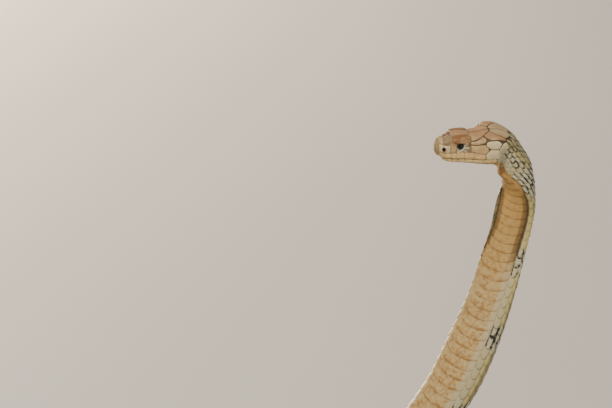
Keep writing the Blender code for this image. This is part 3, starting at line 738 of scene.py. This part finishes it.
class Plates:
    """Many closed plates gathered into one mesh, with what the material reads."""

    BEVEL = ((0, 0.3, 1), (0.08, 0.74, 0.85), (0.28, 0.96, 0.55))   # mm in, share of the lift, edge
    CROWN = (1, 0.7, 0.4)           # rings over the top, by their size
    SUNK = -0.0006

    def __init__(self):
        self.points, self.faces, self.edge, self.tint, self.ink, self.map = [], [], [], [], [], []
        self.count = 0

    def add(self, outline, tint, lift=SHIELD_LIFT, ink=0.25, seam=SEAM_HALF):
        rim = rounded(outline)
        middle = rim.mean(0)
        flat, centre = over_skin(rim), over_skin(middle[None])[0]
        normal = form.outward(rim[:, 0] * MM, rim[:, 1])
        inward = unit(np.cross(normal, np.roll(flat, -1, 0) - np.roll(flat, 1, 0)))
        if ((centre - flat) * inward).sum() < 0:
            inward = -inward
        slim = ((centre - flat) * inward).sum(1).min() / MM
        self._put(flat + inward * seam * MM + normal * self.SUNK, rim, 1)
        for inset, height, edge in self.BEVEL:
            ring = flat + inward * (seam + inset) * MM + normal * (height * lift)
            self._put(ring, rim, edge)
        share = max(min(0.82, 1 - (seam + 0.55) / max(slim, 1)), 0.35)
        for part in self.CROWN:
            ring = middle + (rim - middle) * share * part
            self._put(over_skin(ring, lift * (1.04 + 0.08 * (1 - part))), ring, 0.25 * part)
        for out in (1.14 * lift, self.SUNK):
            self._put(over_skin(middle[None], out), middle[None], 0)
        n, rows = len(rim), 1 + len(self.BEVEL) + len(self.CROWN)
        self.tint.append(np.tile((*tint, 1), (rows * n + 2, 1)))
        self.ink.append(np.full(rows * n + 2, ink))
        base, top_point, root = self.count, self.count + rows * n, self.count + rows * n + 1
        for r in range(rows - 1):
            for j in range(n):
                k = (j + 1) % n
                self.faces.append((base + r * n + j, base + r * n + k,
                                   base + (r + 1) * n + k, base + (r + 1) * n + j))
        for j in range(n):
            k = (j + 1) % n
            self.faces.append((base + (rows - 1) * n + j, base + (rows - 1) * n + k, top_point))
            self.faces.append((base + k, base + j, root))
        self.count += rows * n + 2

    def _put(self, points, flat, edge):
        self.points.append(points)
        self.edge.append(np.full(len(flat), edge))
        self.map.append(np.stack([flat[:, 0] / 90, flat[:, 1] / 360 + 0.5], 1))

    def pair(self, outline, tint, **more):
        self.add(outline, tint, **more)
        self.add([(x, -t) for x, t in reversed(outline)], tint, **more)


TAN, BROWN, SAND = (0.385, 0.205, 0.085), (0.225, 0.1, 0.028), (0.44, 0.27, 0.115)
CHEEK, LABIAL, PEARL = (0.6, 0.39, 0.165), (0.74, 0.48, 0.19), (0.74, 0.6, 0.33)
# the lower lip's and chin's cream is painted brighter than its own colour, painted light that lifts
# the shade under the jaw
CREAMY_WITH_PAINTED_LIGHT, RING, NOSE = (0.92, 0.66, 0.26), (0.56, 0.45, 0.24), (0.15, 0.064, 0.019)
NASAL, HONEY = (0.7, 0.53, 0.29), (0.4, 0.265, 0.12)
DARK_SEAM = 0.46     # half of the gap where the hide shows dark between plates, in mm

plates = Plates()
pair = plates.pair
plates.add([(0, 0), (2.4, 60), (4.2, 88), (4.6, 112), (4.8, 135), (4.9, 180), (4.8, 225),
            (4.6, 248), (4.2, 272), (2.4, 300)], SAND)
pair([top(5, 0.1), top(5.2, 6.4), side(7.2, 6.4), side(9.2, 7.4), top(10, 7.4), top(10.4, 0.1)],
     SAND)
pair([top(10.7, 0.1), top(10.3, 7.8), side(9.6, 7.2), side(13.2, 6), side(16.6, 7), side(17.8, 9.4),
      top(18.8, 7.4), top(20.4, 0.1)], NOSE)
plates.add([top(20.8, 0), top(20.2, 3.6), top(20, 6.9), top(30, 7.4), top(38.8, 5.6), top(42.6, 0),
            top(38.8, -5.6), top(30, -7.4), top(20, -6.9), top(20.2, -3.6)], TAN)
pair([top(20.4, 7.4), (19.9, 50), (19.9, 64), (23.6, 69.5), (30, 70.5), (37.4, 69.5), (42, 64),
      top(42.6, 12), top(39.2, 6.1), top(30, 7.7)], BROWN, lift=0.0006)
pair([top(43, 0.1), top(39.9, 6.2), top(43, 12.4), side(42.6, 11.2), top(49, 16.6), top(55, 15),
      top(61.8, 9.7), top(66, 5), top(66.8, 0.1)], TAN, seam=0.42, ink=0.7)
pair([top(67.2, 0.1), top(66.5, 5), top(74.2, 17), top(81, 18.6), top(84.2, 11), top(84, 0.1)],
     HONEY, seam=0.16, ink=0.5)
pair([side(41.6, 7.4), side(42.2, 10.9), top(49, 17.4), top(54.9, 15.8), top(57.4, 14),
      top(60.4, 21.6), side(59.2, 11.6), side(53.8, 8.4)], SAND, seam=DARK_SEAM, ink=0.6)
pair([top(57.8, 13.6), top(62.1, 10.3), top(66.2, 5.8), top(73.8, 17.4), top(80.6, 19.4),
      side(80.8, 13), side(72, 15.2), side(66, 15), top(61, 21.8)], TAN, seam=DARK_SEAM, ink=0.6)
pair([side(60.2, 12.6), side(66, 14.4), side(72.2, 14.6), side(77.6, 10.4), side(75.4, 3.6),
      side(63.2, 3.7), side(59, 7.2)], PEARL, seam=0.22, ink=0.35)
pair([side(76.2, 3.4), side(78.4, 10.2), side(81.6, 12.4), side(85.6, 6.4), side(84, -0.6),
      side(79.4, -2)], PEARL, seam=0.16)
pair([side(42.2, 6.8), side(53.8, 7.9), side(58.8, 9.6), side(58.4, 7), side(62.6, 3.3),
      side(58.2, -3), side(48, -2.2), side(42.4, -1.4)], CHEEK)
pair([side(63.4, 3.1), side(75.2, 3), side(79.2, -2.2), side(78.2, -6), lip(76, 1), lip(70, 0.6),
      lip(60.4, 0.5), side(59, -3.2)], PEARL, seam=0.2, ink=0.35)
hind_rim = [(3.2, 266), (2.95, 215), (2.7, 180), (2.95, 145), (3.2, 94)]
pair([side(5, 6.8), side(5, -3.4), side(8.6, -4.2)] + [about(NOSTRIL_AT, *at) for at in hind_rim]
     + [side(9, 6.8)], NASAL)
front_rim = [(3.2, 86), (2.95, 35), (2.7, 0), (2.95, -35), (3.2, -86)]
pair([side(10.2, 6.6)] + [about(NOSTRIL_AT, *at) for at in front_rim]
     + [side(12, -4.4), side(16.6, -3.4), side(18.2, 2), side(17.6, 5.6), side(16.2, 6.4),
        side(13.2, 5.4)], NASAL)
pair([side(18, 8), side(19, 2), side(17.6, -3.2), side(23, -2.8), lid(7, 222), lid(5.2, 204),
      lid(4.8, 172), lid(5, 148), side(23.2, 9.4), side(19.4, 9.6)], CHEEK)
for first, last in ((34, 4), (0, -30), (-34, -62)):
    half = (first + last) / 2
    pair([lid(4.7, first), lid(4.7, half), lid(4.7, last), lid(8, last), lid(11.8, half),
          lid(10.4, first)], RING, ink=0.3)
LIP_JOINTS = [4.9, 11.6, 18.8, 25.6, 34.6, 46.4, 58.6]
LIP_TOPS = [-3.8, -4.4, -3.6, -3.2, -3, -2.4, -3.4]
LIP_GAP, LOWER_DEEP = 0.28, 5.4
UNDER_EYE = 3                       # the lip plate that meets the eye
for i in range(len(LIP_JOINTS) - 1):
    front, hind = LIP_JOINTS[i], LIP_JOINTS[i + 1]
    corners = [side(front, LIP_TOPS[i]), lip(front, LIP_GAP), lip(hind, LIP_GAP),
               side(hind, LIP_TOPS[i + 1])]
    if i == UNDER_EYE:
        corners += [lid(7.6, -72), lid(5.1, -76), lid(4.8, 264), lid(5.2, 236), lid(7.4, 234)]
    pair(corners, LABIAL, ink=0.15)
# lower lip plates, in cream with painted light that lifts the shade under the jaw
LOWER_JOINTS = [8.8, 14, 20, 27, 35.5, 45, 57, 73.5]
for front, hind in zip(LOWER_JOINTS, LOWER_JOINTS[1:]):
    pair([lip(front, -LIP_GAP), lip(front, -LOWER_DEEP), lip(hind, -LOWER_DEEP),
          lip(hind, -LIP_GAP)], CREAMY_WITH_PAINTED_LIGHT, seam=0.07, ink=0.05)
# chin shields, in the same cream with painted light
pair([under(13, 0.1), under(12.6, 5.4), under(26, 6.4), under(28.6, 0.1)], CREAMY_WITH_PAINTED_LIGHT)
pair([under(29, 0.1), under(26.6, 6.6), under(40, 6.2), under(44, 0.1)], CREAMY_WITH_PAINTED_LIGHT)

CLOUDED, BLOOM, SEAM_INK = (0.235, 0.115, 0.04), (0.6, 0.455, 0.24), (0.06, 0.035, 0.018)
GRAINED, FLECKED = (0.2, 0.095, 0.03), (0.15, 0.07, 0.022)
horn = Finish("head_shields", roughness=0.42, coat=0.1, coat_roughness=0.34, specular=0.3)
cloud, grain, fleck = horn.noise(0.012), horn.noise(0.0016, detail=5), horn.noise(0.0045)
tint = horn.read("tint", out=0).over(
    (CLOUDED, cloud.rise(0.48, 0.72) * 0.35), (BLOOM, cloud.fall(0.3, 0.5) * 0.3),
    (GRAINED, grain.rise(0.52, 0.72) * 0.25), (FLECKED, fleck.rise(0.6, 0.72) * 0.3),
    (SEAM_INK, horn.read("edge").rise(0.5, 1) * horn.read("ink")))
horn.wear(tint, 0.36 + 0.22 * grain, height=grain * 0.5, deep=0.00015)
shields = new_piece("head_shields", np.concatenate(plates.points), plates.faces, horn.material,
                    smooth=60)
keep_numbers(shields, edge=np.concatenate(plates.edge), ink=np.concatenate(plates.ink))
held = shields.data.attributes.new("tint", "FLOAT_COLOR", "POINT")
held.data.foreach_set("color", np.concatenate(plates.tint).astype(np.float32).ravel())
corner_at = np.array([loop.vertex_index for loop in shields.data.loops])
flat_places = np.concatenate(plates.map)[corner_at]
lay_out(shields, flat_places[:, 0], flat_places[:, 1])


# Belly scutes. Each is one wide plate across the belly, smooth and glossy, tan with an orange
# hind edge that lies over the next one; the animal has about two hundred and fifty of them.
SCUTE_REACH = 52                    # degrees from the middle of the belly to a scute's end
SCUTES_FROM, LYING_FROM, SCUTES_TO = 0.096, 1, 3.47
TUCKED, ROOTED = 0.00055, 0.001     # how deep a scale's rim and its root lie in the skin


def pitch_at(s):
    """From one scute or scale to the next, in metres, shorter at the nape and tail."""
    return np.interp(s, (0.07, 0.1, 0.16, 0.22, 0.3, 0.45, 1.2, 2.6, 3.1, 3.5),
                     (0.0066, 0.0076, 0.0098, 0.0118, 0.0132, 0.0145, 0.0138, 0.0118, 0.009, 0.006))


def marks_along(first, last):
    """The places of scutes or rings of scales, one pitch apart."""
    marks = [first]
    while marks[-1] < last:
        marks.append(marks[-1] + float(pitch_at(marks[-1])))
    return np.array(marks[:-1])


def plate_points(columns, rows, root_row):
    """Across and along of a plate's points: a grid, and last the root under it."""
    return (np.append(np.tile(columns, len(rows)), 0),
            np.append(np.repeat(rows, len(columns)), root_row))


def plate_faces(n, m):
    """Faces of one plate: a grid over its top and a fan that closes it underneath."""
    grid = [(r * n + c, r * n + c + 1, (r + 1) * n + c + 1, (r + 1) * n + c)
            for r in range(m - 1) for c in range(n - 1)]
    rim = list(range(n)) + [r * n + n - 1 for r in range(1, m)]
    rim += [(m - 1) * n + c for c in range(n - 2, -1, -1)] + [r * n for r in range(m - 2, 0, -1)]
    fan = [(rim[(i + 1) % len(rim)], rim[i], n * m) for i in range(len(rim))]
    return np.array(grid), np.array(fan)


def spread(name, s, turn, out, edge, flank, lot, root_s, root_turn, columns, rows, span,
           finish):
    """One mesh of many like plates: s, turn and out have a row for each plate and a column for
    each of its points, and span is the stretch of body that the flat map covers."""
    count, each = s.shape
    base = (np.arange(count) * each)[:, None, None]
    grid, fan = plate_faces(len(columns), len(rows))
    quads, closing = (grid + base).reshape(-1, 4), (fan + base).reshape(-1, 3)
    piece = new_piece(name, spot(s, turn, out).reshape(-1, 3), quads.tolist() + closing.tolist(),
                      finish.material, smooth=50)
    root_s, root_turn = root_s[:, None], root_turn[:, None]
    numbers = {"along": root_s, **askew(root_s, turn), "edge": edge, "flank": flank,
               "lot": lot[:, None]}
    keep_numbers(piece, **{key: np.broadcast_to(held, s.shape) for key, held in numbers.items()})
    low, high = span
    across, along = plate_points(columns, rows, 0.5)
    u = (root_s - low) / (high - low) * 0.994 + 0.003 * along
    v = (root_turn / 360 + 0.5) * 0.994 + 0.0015 * (across + 1)
    corners = np.concatenate([quads.ravel(), closing.ravel()])
    lay_out(piece, u.ravel()[corners], v.ravel()[corners])


draw = np.random.default_rng(7)
gloss = Finish("belly_scutes", roughness=0.34, coat_roughness=0.14, specular=0.35)
edge = gloss.read("edge")
tone, _ = hide_markings_and_shade(gloss, edge, edge, gloss.read("lot"))
wrinkle = gloss.noise(0.0035, detail=4)
wet = gloss.read("along").rise(0.17, 0.27) * (0.2 + 0.5 * wrinkle)
dry = gloss.read("along").fall(0.15, 0.2) * 0.3
gloss.wear(tone, 0.28 + 0.28 * wrinkle + dry, coat=wet, height=wrinkle, deep=0.0006)

columns = np.concatenate([[-1, -0.97], np.linspace(-0.9, 0.9, 19), [0.97, 1]])
rows = np.array([0, 0.06, 0.3, 0.55, 0.76, 0.9, 0.975, 1])
across, along = plate_points(columns, rows, 0.5)
border = (along <= 0) | (along >= 1) | (np.abs(across) >= 1)
lift = 0.00002 + 0.00088 * along ** 1.15 * (1 - 0.35 * across ** 6)
lift = np.where(border, lift - TUCKED, lift)
lift[-1] = -ROOTED
edge = np.maximum(ramp(along, 0.7, 1), ramp(np.abs(across), 0.93, 1) * 0.6)
swept = 1 - 0.05 * along ** 3 * np.abs(across) ** 3
all_marks = marks_along(SCUTES_FROM, SCUTES_TO)
for name, low, high in (("belly_scutes_raised", SCUTES_FROM, LYING_FROM),
                        ("belly_scutes_lying", LYING_FROM, SCUTES_TO)):
    marks = all_marks[(all_marks >= low) & (all_marks < high)]
    pitch = pitch_at(marks)[:, None]
    reach = np.interp(marks, (0.09, 0.12, 0.17, 2.75, 2.85, 3.47),
                      (26, 40, SCUTE_REACH + 1.5, SCUTE_REACH + 1.5, 44, 40))[:, None]
    fade = np.interp(marks, (0.1, 0.2, 2.8, 3.4), (0.6, 1, 1, 0.5))[:, None]
    bow = pitch * (0.6 * (1 - across ** 2) - 0.24)
    s = marks[:, None] + pitch * (1.36 * along - 0.34) + bow
    turn = 180 + roll_at(marks)[:, None] - reach * across * swept
    lot = draw.random(len(marks))
    out = lift * (0.75 + 0.5 * lot[:, None] * 0.4) * fade
    spread(name, s, turn, out, edge, edge, lot, marks, np.zeros(len(marks)), columns, rows,
           (low, high), gloss)


# Scales of the back and flanks. Fifteen rows of smooth, pointed scales lie like tiles towards the
# tail, each over the next; they are olive cream with pale bands edged in black, browner behind.
ROWS = 15
LOST_AT = {4: 2.8, 5: 2.8, 9: 2.8, 10: 2.8, 1: 3.08, 2: 3.08, 12: 3.08, 13: 3.08}


def row_places(s):
    """Each row's middle as a share of the way over the back, and its width, at these places."""
    weight = np.ones((len(s), ROWS))
    for row, place in LOST_AT.items():
        weight[:, row] = ramp(s, place + 0.05, place - 0.05)
    total = weight.sum(1, keepdims=True)
    return (np.cumsum(weight, 1) - weight / 2) / total, weight / total


TABLE_ROWS, TABLE_TURNS, TABLE_SHARES = 500, 131, 201
LAST_ROW, LAST_SHARE = 498.999, 199.999
arc_places = np.linspace(0.06, BODY_LENGTH, TABLE_ROWS)
arc_turns = np.linspace(-(180 - SCUTE_REACH), 180 - SCUTE_REACH, TABLE_TURNS)
arc_grid = form.bare(np.repeat(arc_places, TABLE_TURNS), np.tile(arc_turns, TABLE_ROWS))
arc_steps = np.diff(arc_grid.reshape(TABLE_ROWS, TABLE_TURNS, 3), axis=1)
arc_run = np.concatenate([np.zeros((TABLE_ROWS, 1)),
                          np.cumsum(np.linalg.norm(arc_steps, axis=2), 1)], 1)
shares = np.linspace(0, 1, TABLE_SHARES)
turn_table = np.stack([np.interp(shares, row, arc_turns) for row in arc_run / arc_run[:, -1:]])


def turn_at(s, share):
    """The turn at a share of the way over the back, from the right flank to the left."""
    a = (s - arc_places[0]) / (arc_places[-1] - arc_places[0]) * (TABLE_ROWS - 1)
    a, b = np.clip(a, 0, LAST_ROW), np.clip(share, 0, 1) * LAST_SHARE
    i, j = a.astype(int), b.astype(int)
    a, b = a - i, b - j
    return ((turn_table[i, j] * (1 - b) + turn_table[i, j + 1] * b) * (1 - a)
            + (turn_table[i + 1, j] * (1 - b) + turn_table[i + 1, j + 1] * b) * a)


satin = Finish("scales", roughness=0.4, coat=0.2, coat_roughness=0.3)
tone, _ = hide_markings_and_shade(satin, satin.read("edge"), satin.read("flank"), satin.read("lot"))
fine = satin.noise(0.0012, detail=4)
satin.wear(tone, 0.34 + 0.22 * fine, height=fine, deep=0.00012)

SCALES_FROM, SCALES_TO = 0.07, 3.485
columns = np.array([-1, -0.86, -0.48, 0, 0.48, 0.86, 1])
rows = np.array([0, 0.1, 0.34, 0.58, 0.78, 0.92, 1])
LEAF = np.array([0.55, 0.7, 0.97, 1, 0.82, 0.5, 0.16])      # its width at each row of points
across, along = plate_points(columns, rows, 0.45)
leaf_across = np.append(np.repeat(LEAF, len(columns)), 0) * across
border = (along <= 0) | (along >= 1) | (np.abs(across) >= 1)
lift = -0.00035 + 0.00125 * along + 0.00035 * (1 - across ** 2)
lift = np.where(border, lift - TUCKED, lift)
lift[-1] = -ROOTED
edge = np.maximum(np.abs(across), np.where(along > 0.5, (along - 0.5) * 2, 0) ** 1.2)
edge[-1] = 0.5
flank = np.abs(across) * (1 - 0.85 * ramp(along, 0.8, 1))
marks = marks_along(SCALES_FROM, SCALES_TO)
for name, low, high in (("scales_neck", 0, 0.5), ("scales_forebody", 0.5, 1.2),
                        ("scales_midbody", 1.2, 2.1), ("scales_hindbody", 2.1, 2.8),
                        ("scales_tail", 2.8, 3.6)):
    here = marks[(marks >= low) & (marks < high)]
    start = np.repeat(here, ROWS)
    row = np.tile(np.arange(ROWS), len(here))
    pitch = pitch_at(start)
    start = start + (row % 2) * pitch / 2
    pick = (np.arange(len(start)), row)
    middle, width = [v[pick] for v in row_places(start)]
    rows_here = np.interp(start, (2.75, 2.85, 3.03, 3.13), (15, 11, 11, 7))
    root_turn = turn_at(start, middle)
    first = np.interp(np.abs(root_turn), (0, 45, 75, 105, 130),
                      (0.0815, 0.079, 0.0765, 0.0765, 0.0745))
    keep = (start >= first) & (width * rows_here > 0.45) & (start < SCALES_TO)
    start, pitch, middle, width, root_turn = [v[keep, None] for v in
                                              (start, pitch, middle, width, root_turn)]
    lot = draw.random(len(start))
    s = start + pitch * (1.62 * along - 0.35)
    share = middle + 0.64 * width * leaf_across
    spill = np.maximum(np.abs(share - 0.5) - 0.5, 0)
    turn = turn_at(np.minimum(s, BODY_LENGTH), share) + roll_at(start)
    turn = turn + np.sign(share - 0.5) * spill * 2 * (180 - SCUTE_REACH) * 0.8
    size = np.interp(start, (0.075, 0.12, 0.2, 2.8, 3.2, 3.5), (0.55, 0.75, 1, 0.9, 0.55, 0.3))
    out = lift * size * (0.9 + 0.2 * lot[:, None])
    spread(name, np.minimum(s, BODY_LENGTH - 0.0002), turn, out, edge, flank, lot, start[:, 0],
           root_turn[:, 0], columns, rows, (max(low, SCALES_FROM), min(high, BODY_LENGTH)), satin)


# Scales under the chin and throat. Between the chin shields and the first belly scute the skin
# has small soft scales, which are pale cream turning to orange brown.
THROAT_PITCH, THROAT_ROWS, ROW_TURN = 0.0058, 13, 9.2
throat_marks = np.arange(0.044, 0.102, THROAT_PITCH)
start = np.repeat(throat_marks, THROAT_ROWS)
row = np.tile(np.arange(THROAT_ROWS), len(throat_marks))
start = start + (row % 2) * THROAT_PITCH / 2
root_turn = 180 + (row - THROAT_ROWS // 2) * ROW_TURN
aside = np.abs(root_turn - 180)
fits = (start >= 0.0735) | (aside < 44)
fits &= aside > np.interp(start, (0.094, 0.104), (-1, 30))
start, root_turn = start[fits], root_turn[fits]
s = start[:, None] + THROAT_PITCH * (1.55 * along - 0.3)
turn = root_turn[:, None] + 6.6 * leaf_across
spread("throat_scales", s, turn, (lift * 0.55)[None], edge, flank, draw.random(len(start)), start,
       root_turn - 360 * (root_turn > 180), columns, rows, (0.04, 0.11), satin)


# Floor and light. A plain pale floor takes soft shadows. A warm lamp stands high in front on the
# left, a small low one behind draws a thin bright line down the belly's edge, and a broad weak
# one fills from the right.
FLOOR_HALF, FLOOR_AT = 9, (0, 1.5, -0.0002)
CORNERS = ((-1, -1), (1, -1), (1, 1), (-1, 1))
CLAY, CLAY_DARK = (0.62, 0.56, 0.49), (0.58, 0.52, 0.45)
mesh = bpy.data.meshes.new("floor")
mesh.from_pydata([(x * FLOOR_HALF, y * FLOOR_HALF, 0) for x, y in CORNERS], [], [(0, 1, 2, 3)])
floor = put("floor", mesh)
floor.location = FLOOR_AT
paint = Finish("floor_paint", roughness=0.7)
mesh.materials.append(paint.wear(paint.colour(CLAY).over((CLAY_DARK, paint.noise(0.6)))))


def lamp(name, place, size, power, colour):
    """A round lamp that faces the neck."""
    light = bpy.data.lights.new(name, "AREA")
    light.shape = "DISK"
    light.size, light.energy, light.color = size, power, colour
    item = put(name, light)
    item.location = place
    item.rotation_euler = (Vector(place) - Vector(NECK_AT)).to_track_quat("Z", "Y").to_euler()


NECK_AT = (0.05, -0.1, 0.62)
lamp("key", (-0.9, -1.2, 3.4), 0.8, 96, (1, 0.95, 0.84))
lamp("rim", (-1.6, 3, 0.5), 0.5, 190, (1, 0.88, 0.7))
lamp("fill", (2.6, -2.4, 1.6), 2.2, 22, (0.95, 0.97, 1))
SKY, SKY_STRENGTH = (0.86, 0.9, 1, 1), 0.42
sky = bpy.data.worlds.new("sky")
sky.use_nodes = True
sky.node_tree.nodes["Background"].inputs["Color"].default_value = SKY
sky.node_tree.nodes["Background"].inputs["Strength"].default_value = SKY_STRENGTH
bpy.context.scene.world = sky
